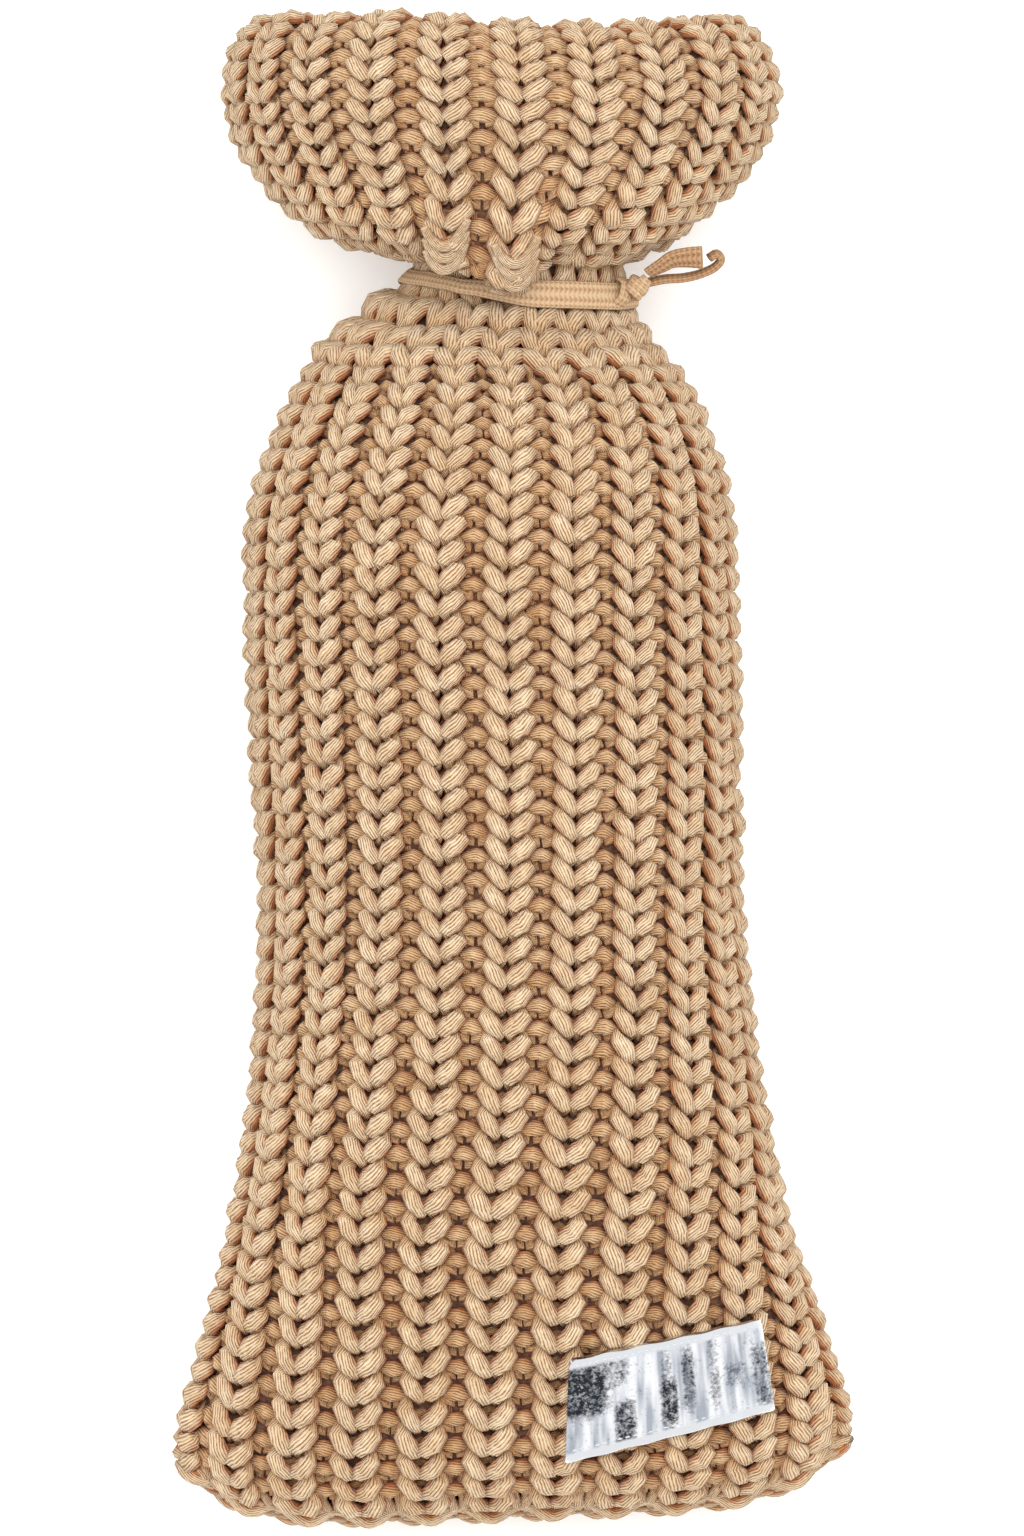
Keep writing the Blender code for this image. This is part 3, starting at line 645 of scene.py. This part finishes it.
def tape_ends(material):
    """Two short free ends: the upper turns its face to the eye, the lower stands on edge."""
    upper = smooth_line(UPPER_END, 24)
    twist = np.radians(np.linspace(*END_TWISTS, 24))
    across = np.stack([np.zeros(24), np.cos(twist), np.sin(twist)], axis=1)
    out = np.cross(across, np.gradient(upper, axis=0))
    tape_band("tape_end_turned", upper, out, np.linspace(*END_WIDTHS, 24), TAPE_THICK, material,
              "tape_end_upper")
    lower = smooth_line(LOWER_END, 44)
    out = np.cross((0.0, -0.25, 1.0), np.gradient(lower, axis=0))
    tape_band("tape_end_curled", lower, out, CURLED_WIDTH, TAPE_THICK * CURLED_THICKER, material,
              "tape_end_lower")


def label_sheet(u, v):
    """Points of the label's underside for shares u across and v up it. Its plan is bilinear
    between its corners, which high powers of both shares round off, and its long edges ripple by
    a sine times a cube. Its height is the skin's, levelled by a plane through the nearest points
    of each place, plus two sine waves of 0.17 and 0.10 mm."""
    us, vs = (np.linspace(0, 1, count) for count in SEAT_GRID)
    ways = np.linspace(0, KNOTS[SEAT_SECTION], SEAT_LINES)
    way, turn = np.meshgrid(ways, np.arange(*SEAT_TURNS, 1.0), indexing="ij")
    skin = on_skin(way, turn)[0].reshape(-1, 3)
    (c00, c10), (c01, c11) = LABEL_CORNERS

    def plan(a, b):
        a, b = a[..., None], b[..., None]
        return (c00 * (1 - a) + c10 * a) * (1 - b) + (c01 * (1 - a) + c11 * a) * b

    heights = []
    for place in plan(*np.meshgrid(us, vs, indexing="ij")).reshape(-1, 2):
        near = skin[np.argsort(np.hypot(*(skin[:, :2] - place).T))[:SEAT_POINTS]]
        slope = np.c_[near[:, :2] - place, np.ones(SEAT_POINTS)]
        heights.append(np.linalg.lstsq(slope, near[:, 2], rcond=None)[0][2])
    heights = smooth(us, np.array(heights).reshape(SEAT_GRID), u)
    heights = smooth(vs, heights.T, v).T
    a, b = np.meshgrid(u, v, indexing="ij")
    long_wave, short_wave = LABEL_WAVES
    wave = long_wave * np.sin(19 * a + 1.2 * b + 0.5) + short_wave * np.sin(43 * a - 2.5 * b)
    corner = np.abs(2 * a - 1) ** 40 * np.abs(2 * b - 1) ** 18
    ripple = 0.006 * np.sin(31 * a + 2) * (2 * b - 1) ** 3
    place = plan(0.5 + (a - 0.5) * (1 - 0.02 * corner), 0.5 + (b - 0.5) * (1 - 0.05 * corner) + ripple)
    return np.concatenate([place, (heights + LABEL_CLEAR + wave)[..., None]], axis=2)


def label(leather):
    """The leather label: its sheet with thickness and a worn edge. How dark the painted reflection is at a
    place is 1.6 less the root of the sum of the fourth powers of its ways from a patch's middle, as shares
    of the patch's half size, and at most 1, times the patch's shade."""
    columns, rows = LABEL_GRID
    us, vs = np.linspace(0, 1, columns), np.linspace(0, 1, rows)
    a, b = np.meshgrid(np.arange(columns - 1), np.arange(rows - 1), indexing="ij")
    uv = np.stack([
        np.stack([(a + i) / (columns - 1), (b + j) / (rows - 1)], axis=-1) * LABEL_PLAN
        for i, j in ((0, 0), (1, 0), (1, 1), (0, 1))
    ], axis=2)
    made = make("foiled_label", label_sheet(us, vs).reshape(-1, 3), grid_faces(columns, rows),
                leather, uv, replaces=["label"])
    across, high = np.meshgrid(us, vs, indexing="ij")
    dark = np.max([
        shade * np.clip(1.6 - np.hypot(((across - u) / wide) ** 2, ((high - v) / tall) ** 2), 0, 1)
        for u, v, wide, tall, shade in DARK_REFLECTIONS
    ], axis=0)
    dark_reflection = made.data.attributes.new("dark_reflection", "FLOAT", "POINT")
    dark_reflection.data.foreach_set("value", dark.astype(np.float32).ravel())
    shell = made.modifiers.new("thickness", "SOLIDIFY")
    shell.thickness, shell.offset = LABEL_THICK / 1000, 1
    edge = made.modifiers.new("worn_edge", "BEVEL")
    edge.width, edge.segments, edge.limit_method = LABEL_EDGE / 1000, 2, "ANGLE"
    return made


def label_sewing(thread):
    """The two rows of sewing that hold the label: each stitch is half an ellipse over it."""
    along = np.linspace(*STITCH_STARTS, STITCHES)[:, None] + np.linspace(0, STITCH_LENGTH, STITCH_POINTS)
    arch = np.sqrt(np.clip(1 - np.linspace(-1, 1, STITCH_POINTS) ** 2, 0, 1))
    lines = []
    for row in (THREAD_INSET, 1 - THREAD_INSET):
        point = label_sheet(along.ravel(), np.array([row, row + 0.01]))[:, 0]
        point[:, 2] += LABEL_THICK + np.tile(arch, STITCHES) * STITCH_ARCH - STITCH_SUNK
        lines.append(point.reshape(STITCHES, STITCH_POINTS, 3))
    lines = np.concatenate(lines)
    radius = np.full(lines.shape[:2], THREAD_RADIUS)
    up = np.tile((0.0, 0.0, 1.0), (*lines.shape[:2], 1))
    points, faces, uv, caps = tubes(lines, up, radius, radius, oval(6), False)
    return make("label_sewing", points, faces, thread, uv, caps, ["label"])


# ---------------------------------------------------------------- materials
def linear(colour):
    """An sRGB hex colour as linear red, green, blue and alpha."""
    parts = [int(colour[i:i + 2], 16) / 255 for i in (1, 3, 5)]
    return tuple(c / 12.92 if c <= 0.04045 else ((c + 0.055) / 1.055) ** 2.4 for c in parts) + (1.0,)


def add(tree, kind, sockets=None, **settings):
    """Adds a shader node, sets its own properties, and fills or links its sockets."""
    made = tree.nodes.new("ShaderNode" + kind)
    for name, value in settings.items():
        setattr(made, name, value)
    for name, value in (sockets or {}).items():
        if isinstance(value, bpy.types.NodeSocket):
            tree.links.new(value, made.inputs[name])
        else:
            made.inputs[name].default_value = value
    return made


def new_material(name):
    made = bpy.data.materials.new(name)
    made.use_nodes = True
    return made, made.node_tree, made.node_tree.nodes["Principled BSDF"]


def ramp(tree, factor, *stops):
    """A colour ramp: pairs of place and hex colour."""
    made = add(tree, "ValToRGB", {0: factor})
    band = made.color_ramp
    while len(band.elements) < len(stops):
        band.elements.new(0.5)
    for element, (place, colour) in zip(band.elements, stops):
        element.position = place
        element.color = linear(colour)
    return made.outputs[0]


def cotton_yarn():
    """Chunky cotton yarn of many fine plies laid nearly side by side: dry and matt, pale on the plies, with
    reddish brown painted shade in the lines between them, on the yarn's flanks and on the deeper yarn."""
    made, tree, shader = new_material("plied_cotton_yarn")
    uv = add(tree, "UVMap", uv_map="along_and_round")
    split = add(tree, "SeparateXYZ", {0: uv.outputs[0]})
    place = add(tree, "TexCoord").outputs["Object"]
    drift = add(tree, "TexNoise", {"Vector": place, "Scale": 420.0, "Detail": 2.0})
    # The real yarn has about 22 plies of 0.49 mm round it; 18 are drawn, so that they show.
    ply = add(tree, "Math", {0: split.outputs[1], 1: 18.0}, operation="MULTIPLY")
    twist = add(tree, "Math", {0: split.outputs[0], 1: 0.3, 2: ply.outputs[0]}, operation="MULTIPLY_ADD")
    bent = add(tree, "Math", {0: drift.outputs[0], 1: 0.8, 2: twist.outputs[0]}, operation="MULTIPLY_ADD")
    wave = add(tree, "Math", {0: bent.outputs[0], 1: 0.5}, operation="PINGPONG")
    crown = add(tree, "Math", {0: wave.outputs[0], 1: 2.0}, operation="MULTIPLY")
    soft = add(tree, "Math", {0: crown.outputs[0], 1: 0.7}, operation="POWER")
    # The line between two plies comes and goes in dashes of about 1.7 mm.
    line_number = add(tree, "Math", {0: bent.outputs[0]}, operation="ROUND")
    apart = add(tree, "Math", {0: line_number.outputs[0], 1: 5.3}, operation="MULTIPLY")
    along = add(tree, "Math", {0: split.outputs[0], 1: 0.6}, operation="MULTIPLY")
    dash_at = add(tree, "CombineXYZ", {0: along.outputs[0], 1: apart.outputs[0]})
    dash = add(tree, "TexNoise", {"Vector": dash_at.outputs[0], "Scale": 1.0, "Detail": 1.0})
    faint = ramp(tree, dash.outputs[0], (0.46, "#000000"), (0.62, "#A0A0A0"))
    filled = add(tree, "MixRGB", {"Fac": faint, "Color1": soft.outputs[0], "Color2": (1, 1, 1, 1)})
    # Fibres of 0.02 mm are far too fine to show, so the fuzz is drawn at 0.4 mm.
    fibre = add(tree, "TexNoise", {"Vector": place, "Scale": 2400.0, "Detail": 3.0, "Roughness": 0.7})
    broken = add(tree, "Math", {0: fibre.outputs[0], 1: 0.6, 2: filled.outputs[0]}, operation="MULTIPLY_ADD")
    line = add(tree, "Math", {0: broken.outputs[0], 1: 0.3}, operation="SUBTRACT", use_clamp=True)
    cloud = add(tree, "TexNoise", {"Vector": place, "Scale": 150.0, "Detail": 3.0})
    # The darkest stops fall on the lines between plies and are painted shade in the grooves; the paler stops
    # are the yarn's own tone.
    colour = ramp(
        tree, line.outputs[0],
        (0.0, "#5E3022"), (0.25, "#9C6E4A"), (0.6, "#CBAF88"), (1.0, "#DED0B8"),
    )
    tint = ramp(tree, cloud.outputs[0], (0.3, "#EFE3D6"), (0.7, "#FFFFFF"))
    mixed = add(tree, "MixRGB", {"Fac": 1.0, "Color1": colour, "Color2": tint}, blend_type="MULTIPLY")
    # Painted shade: the yarn's flanks and underside, away from its crown a quarter turn round it, are tinted
    # redder and darker than the crown.
    round_it = add(tree, "Math", {0: split.outputs[1], 1: 2 * np.pi}, operation="MULTIPLY")
    outward = add(tree, "Math", {0: round_it.outputs[0]}, operation="SINE")
    flank_shade = ramp(tree, outward.outputs[0], (0.0, "#DDA078"), (0.6, "#FFFFFF"))
    flank_shaded = add(
        tree, "MixRGB", {"Fac": 1.0, "Color1": mixed.outputs[0], "Color2": flank_shade},
        blend_type="MULTIPLY",
    )
    # Painted shade: yarn deeper than 1.6 mm under the skin is tinted browner, the deeper the darker.
    over_skin = add(tree, "Attribute", attribute_name="over_skin").outputs["Fac"]
    depth = add(tree, "Math", {0: over_skin, 1: -0.25}, operation="MULTIPLY")
    deep_shade = ramp(tree, depth.outputs[0], (0.4, "#FFFFFF"), (0.74, "#F8EADA"), (0.95, "#E8CDB0"))
    shaded = add(
        tree, "MixRGB", {"Fac": 1.0, "Color1": flank_shaded.outputs[0], "Color2": deep_shade},
        blend_type="MULTIPLY",
    )
    tree.links.new(shaded.outputs[0], shader.inputs["Base Color"])
    bump = add(tree, "Bump", {"Height": line.outputs[0], "Strength": 0.8, "Distance": 0.0004})
    tree.links.new(bump.outputs[0], shader.inputs["Normal"])
    shader.inputs["Roughness"].default_value = 0.92
    shader.inputs["Specular IOR Level"].default_value = 0.2
    shader.inputs["Sheen Weight"].default_value = 0.1
    shader.inputs["Sheen Roughness"].default_value = 0.5
    return made


def shaded_gap_yarn():
    """The backs of the same stitches, seen only down the gaps, painted dark reddish brown as the shade in
    the gaps; matt.
    """
    made, tree, shader = new_material("cotton_yarn_in_the_gaps_painted_shade")
    place = add(tree, "TexCoord").outputs["Object"]
    mottle = add(tree, "TexNoise", {"Vector": place, "Scale": 900.0, "Detail": 3.0})
    colour = ramp(tree, mottle.outputs[0], (0.35, "#4E3226"), (0.65, "#73503C"))
    tree.links.new(colour, shader.inputs["Base Color"])
    bump = add(tree, "Bump", {"Height": mottle.outputs[0], "Strength": 0.6, "Distance": 0.0006})
    tree.links.new(bump.outputs[0], shader.inputs["Normal"])
    shader.inputs["Roughness"].default_value = 0.95
    return made


def cotton_tape(name, shades):
    """Fine knitted cotton tape: ten rows of small chains run round its section, so five show on each face as
    rows of tiny leaning stitches, with brown painted shade in the pin holes between them."""
    made, tree, shader = new_material(name)
    uv = add(tree, "UVMap", uv_map="along_and_round")
    split = add(tree, "SeparateXYZ", {0: uv.outputs[0]})
    place = add(tree, "TexCoord").outputs["Object"]
    row = add(tree, "Math", {0: split.outputs[1], 1: 10.0}, operation="MULTIPLY")
    across = add(tree, "Math", {0: row.outputs[0], 1: 0.5}, operation="PINGPONG")
    # A real chain is about 1.1 mm long.
    ahead = add(tree, "Math", {0: split.outputs[0], 1: 0.9, 2: across.outputs[0]}, operation="MULTIPLY_ADD")
    stitch = add(tree, "Math", {0: ahead.outputs[0], 1: 0.5}, operation="PINGPONG")
    edge = add(tree, "Math", {0: across.outputs[0], 1: 1.2}, operation="MULTIPLY")
    both = add(tree, "Math", {0: stitch.outputs[0], 1: 1.1, 2: edge.outputs[0]}, operation="MULTIPLY_ADD")
    fuzz = add(tree, "TexNoise", {"Vector": place, "Scale": 2200.0, "Detail": 2.0})
    height = add(tree, "Math", {0: fuzz.outputs[0], 1: 0.6, 2: both.outputs[0]}, operation="MULTIPLY_ADD")
    # The low places between the stitches and rows take the darker shades: painted shade.
    colour = ramp(tree, height.outputs[0], *zip((0.25, 0.5, 0.85, 1.0), shades))
    tree.links.new(colour, shader.inputs["Base Color"])
    bump = add(tree, "Bump", {"Height": height.outputs[0], "Strength": 0.6, "Distance": 0.0003})
    tree.links.new(bump.outputs[0], shader.inputs["Normal"])
    shader.inputs["Roughness"].default_value = 0.9
    shader.inputs["Specular IOR Level"].default_value = 0.2
    return made


def silver_foil():
    """Leather with a silver foil pressed on: mirror-bright and finely crinkled, with dark reflections
    painted in patches, nearly black with speckled edges, and soft grey reflections painted in streaks;
    duller along its sewn edges."""
    made, tree, shader = new_material("silver_foiled_leather")
    uv = add(tree, "UVMap", uv_map="along_and_round")
    split = add(tree, "SeparateXYZ", {0: uv.outputs[0]})
    place = add(tree, "TexCoord").outputs["Object"]
    # Dark reflections are painted into the foil's colour in patches, with ragged, speckled edges.
    dark_reflection = add(tree, "Attribute", attribute_name="dark_reflection").outputs["Fac"]
    drift = add(tree, "TexNoise", {"Vector": place, "Scale": 260.0, "Detail": 4.0, "Roughness": 0.7})
    grain = add(tree, "TexNoise", {"Vector": place, "Scale": 1100.0, "Detail": 3.0, "Roughness": 0.75})
    reflection_drift = add(tree, "Math", {0: drift.outputs[0], 1: 0.44, 2: -0.02}, operation="MULTIPLY_ADD")
    masked = add(tree, "Math", {0: dark_reflection, 1: 0.34, 2: reflection_drift.outputs[0]}, operation="MULTIPLY_ADD")
    speckled = add(
        tree, "Math", {0: grain.outputs[0], 1: 0.8, 2: masked.outputs[0]},
        operation="MULTIPLY_ADD",
    )
    dark = ramp(tree, speckled.outputs[0], (0.66, "#000000"), (0.96, "#FFFFFF"))
    # Soft grey reflections are painted up the label in streaks about 3 mm wide.
    streak_at = add(tree, "VectorMath", {0: uv.outputs[0], 1: (0.35, 0.05, 1.0)}, operation="MULTIPLY")
    streak = add(tree, "TexNoise", {"Vector": streak_at.outputs[0], "Scale": 1.0, "Detail": 2.0})
    bright = ramp(tree, streak.outputs[0], (0.38, "#A9AFB8"), (0.5, "#DADDE2"), (0.62, "#F4F5F7"))
    mixed = add(tree, "MixRGB", {"Fac": dark, "Color1": bright, "Color2": linear("#2B2E35")})
    # The border is the outer fifth of the way from the middle of the label's height.
    half = LABEL_PLAN[1] / 2
    up = add(tree, "Math", {0: split.outputs[1], 1: half}, operation="SUBTRACT")
    far = add(tree, "Math", {0: up.outputs[0]}, operation="ABSOLUTE")
    share = add(tree, "Math", {0: far.outputs[0], 1: 1 / half}, operation="MULTIPLY")
    border = ramp(tree, share.outputs[0], (0.80, "#000000"), (0.86, "#FFFFFF"))
    plain = add(tree, "MixRGB", {"Fac": border, "Color1": mixed.outputs[0], "Color2": linear("#DADCDF")})
    tree.links.new(plain.outputs[0], shader.inputs["Base Color"])
    bump = add(tree, "Bump", {"Height": grain.outputs[0], "Strength": 0.35, "Distance": 0.0003})
    tree.links.new(bump.outputs[0], shader.inputs["Normal"])
    shader.inputs["Metallic"].default_value = 1.0
    shader.inputs["Roughness"].default_value = 0.28
    return made


def sewing_thread():
    """Polyester thread in pale grey: smooth, with a slight shine."""
    made, tree, shader = new_material("polyester_thread")
    shader.inputs["Base Color"].default_value = linear("#B9BDC3")
    shader.inputs["Roughness"].default_value = 0.5
    return made


def studio():
    """A pale floor, soft overhead light, and the camera straight above."""
    bpy.ops.mesh.primitive_plane_add(size=8)
    floor = bpy.context.object
    floor.name = "pale_floor"
    made, tree, shader = new_material("pale_paper")
    shader.inputs["Base Color"].default_value = linear("#F8F8F7")
    shader.inputs["Roughness"].default_value = 0.9
    shader.inputs["Emission Color"].default_value = (1.0, 1.0, 1.0, 1.0)
    shader.inputs["Emission Strength"].default_value = 0.16
    floor.data.materials.append(made)
    bpy.context.scene.view_settings.view_transform = "Standard"
    world = bpy.data.worlds.new("soft_room")
    bpy.context.scene.world = world
    world.use_nodes = True
    sky = world.node_tree.nodes["Background"]
    sky.inputs[0].default_value, sky.inputs[1].default_value = (1.0, 1.0, 1.0, 1.0), 1.1
    for name, place, size, power in (
        ("soft_key", (0.25, 0.60, 2.2), 1.2, 30.0),
        ("soft_fill", (-0.5, -0.3, 2.1), 1.6, 12.0),
    ):
        light = bpy.data.lights.new(name, "AREA")
        light.size, light.energy = size, power
        lamp = bpy.data.objects.new(name, light)
        lamp.location = place
        lamp.rotation_euler = (Vector((0, 0, 0.04)) - Vector(place)).to_track_quat("-Z", "Y").to_euler()
        bpy.context.scene.collection.objects.link(lamp)
    camera = bpy.data.cameras.new("camera")
    camera.sensor_fit, camera.sensor_height = "VERTICAL", 36.0
    # 6 m off, so nearly without perspective: the picture is 337.9 mm high at 45 mm over the table,
    # and its middle is 0.11 mm left of the cover's and 0.33 mm nearer to the collar.
    distance, frame_height, level = 6000.0, 337.9, 45.0
    camera.lens = 36.0 * distance / frame_height
    view = bpy.data.objects.new("camera", camera)
    view.location = (-0.00011, 0.00033, (distance + level) / 1000)
    bpy.context.scene.collection.objects.link(view)
    bpy.context.scene.camera = view


yarn = cotton_yarn()
tape = cotton_tape("knitted_cotton_tape", ("#8A664B", "#A58464", "#B69674", "#C4A886"))
# A darker copy of the tape for the two free ends: their shade is painted into its colours.
shaded_tape = cotton_tape("cotton_tape_painted_in_shade", ("#714E38", "#8C6849", "#9E7A59", "#AF8C6A"))
courses = knit(yarn)
edge = cast_on_edge(yarn)
seam = base_seam(yarn)
folds = hanging_folds(yarn)
backing = ground(shaded_gap_yarn())
neck_tape(tape)
tight_knot(tape)
tape_ends(shaded_tape)
patch = label(silver_foil())
sewing = label_sewing(sewing_thread())
studio()
